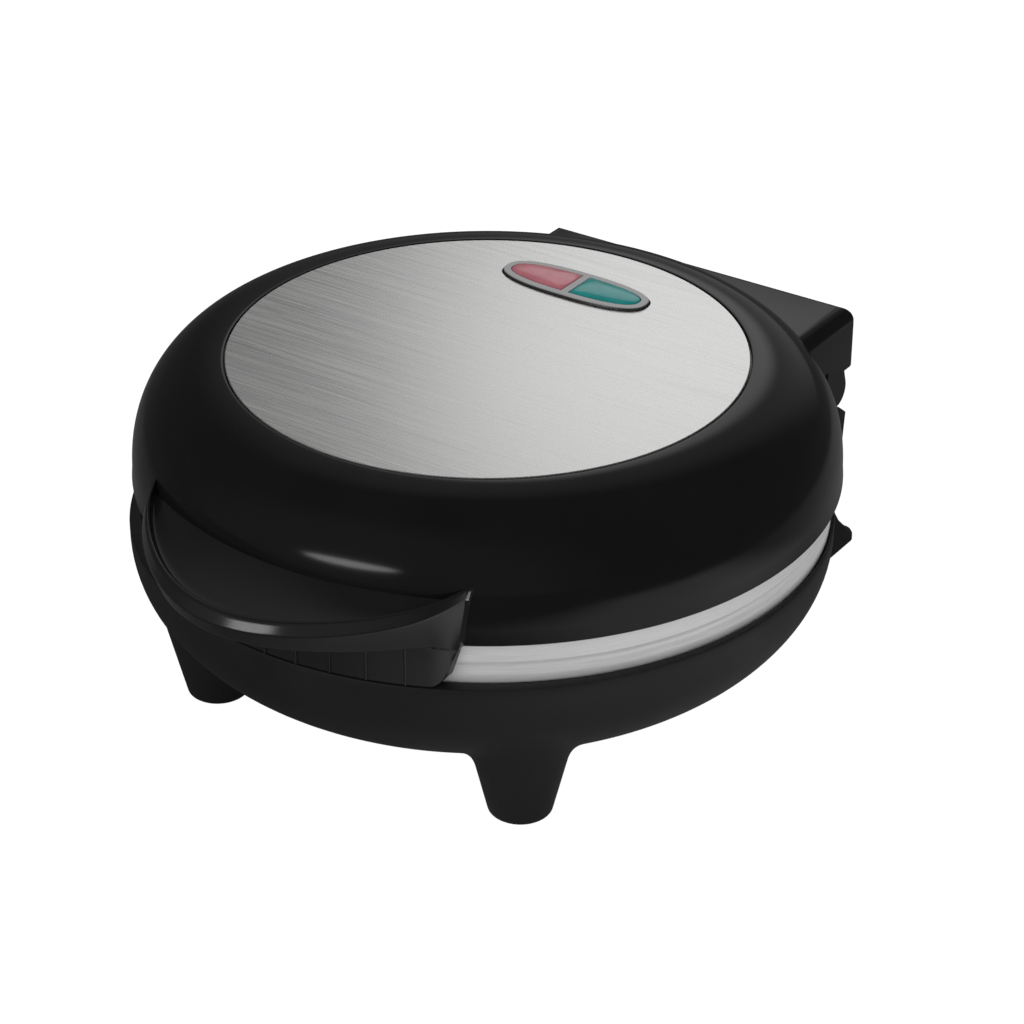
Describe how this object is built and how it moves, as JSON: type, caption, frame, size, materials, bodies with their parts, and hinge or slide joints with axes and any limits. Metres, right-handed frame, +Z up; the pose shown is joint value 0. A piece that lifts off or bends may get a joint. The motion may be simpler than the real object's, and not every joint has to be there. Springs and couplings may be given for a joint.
{
  "type": "electric omelette maker",
  "caption": "Round countertop omelette cooker with a hinged domed lid, half-moon non-stick pockets, a wide front handle and indicator lights on a brushed top",
  "frame": {"origin": "centre of the part's box, on the surface its feet stand on", "axes": "+Z up, +Y to the hinge at the rear, the handle on the -Y side, +X to the right seen from the front, along the hinge"},
  "size_m": [0.225, 0.2726, 0.1138],
  "materials": {
    "gloss_black": "polished black moulded plastic",
    "satin_black": "fine satin black moulded plastic",
    "brushed_steel": "straight brushed stainless sheet",
    "satin_silver": "satin silver metal band with fine turned grain",
    "bezel_grey": "grey moulded plastic",
    "red_lens": "clear red moulded lens",
    "green_lens": "clear green moulded lens",
    "lamp_glass": "small clear neon lamp",
    "coated_plate": "die-cast aluminium with dark non-stick coating",
    "sheathed_tube": "heat-tinted sheathed heating tube",
    "sheet_aluminium": "bright pressed sheet",
    "zinc_steel": "zinc plated steel",
    "white_insulator": "white heat-resistant moulding",
    "foot_rubber": "matt black rubber"
  },
  "bodies": {
    "base": {"base_shell": "satin_black", "front_pad_left": "foot_rubber", "front_pad_right": "foot_rubber", "rear_pad_left": "foot_rubber", "rear_pad_right": "foot_rubber", "hinge_pin_left": "zinc_steel", "hinge_pin_right": "zinc_steel", "lower_plate": "coated_plate", "lower_element": "sheathed_tube", "lower_reflector": "sheet_aluminium", "lower_thermostat": "white_insulator", "thermal_fuse": "zinc_steel", "terminal_block": "white_insulator", "lower_plate_screw_1": "zinc_steel", "lower_plate_screw_2": "zinc_steel", "lower_plate_screw_3": "zinc_steel", "lower_plate_screw_4": "zinc_steel"},
    "lid": {"lid_shell": "gloss_black", "lid_handle": "gloss_black", "trim_ring": "satin_silver", "top_disc": "brushed_steel", "indicator_bezel": "bezel_grey", "red_lens": "red_lens", "green_lens": "green_lens", "lamp_tray": "satin_black", "red_lamp": "lamp_glass", "green_lamp": "lamp_glass", "upper_plate": "coated_plate", "upper_element": "sheathed_tube", "upper_reflector": "sheet_aluminium", "upper_thermostat": "white_insulator", "upper_plate_screw_1": "zinc_steel", "upper_plate_screw_2": "zinc_steel", "upper_plate_screw_3": "zinc_steel", "upper_plate_screw_4": "zinc_steel", "handle_screw_1": "zinc_steel", "handle_screw_2": "zinc_steel"}
  },
  "joints": [
    {"name": "lid_hinge", "type": "hinge", "parent": "base", "child": "lid", "pos_m": [0, 0.12175, 0.0626], "axis": [-1, 0, 0], "range_deg": [0, 90]}
  ]
}
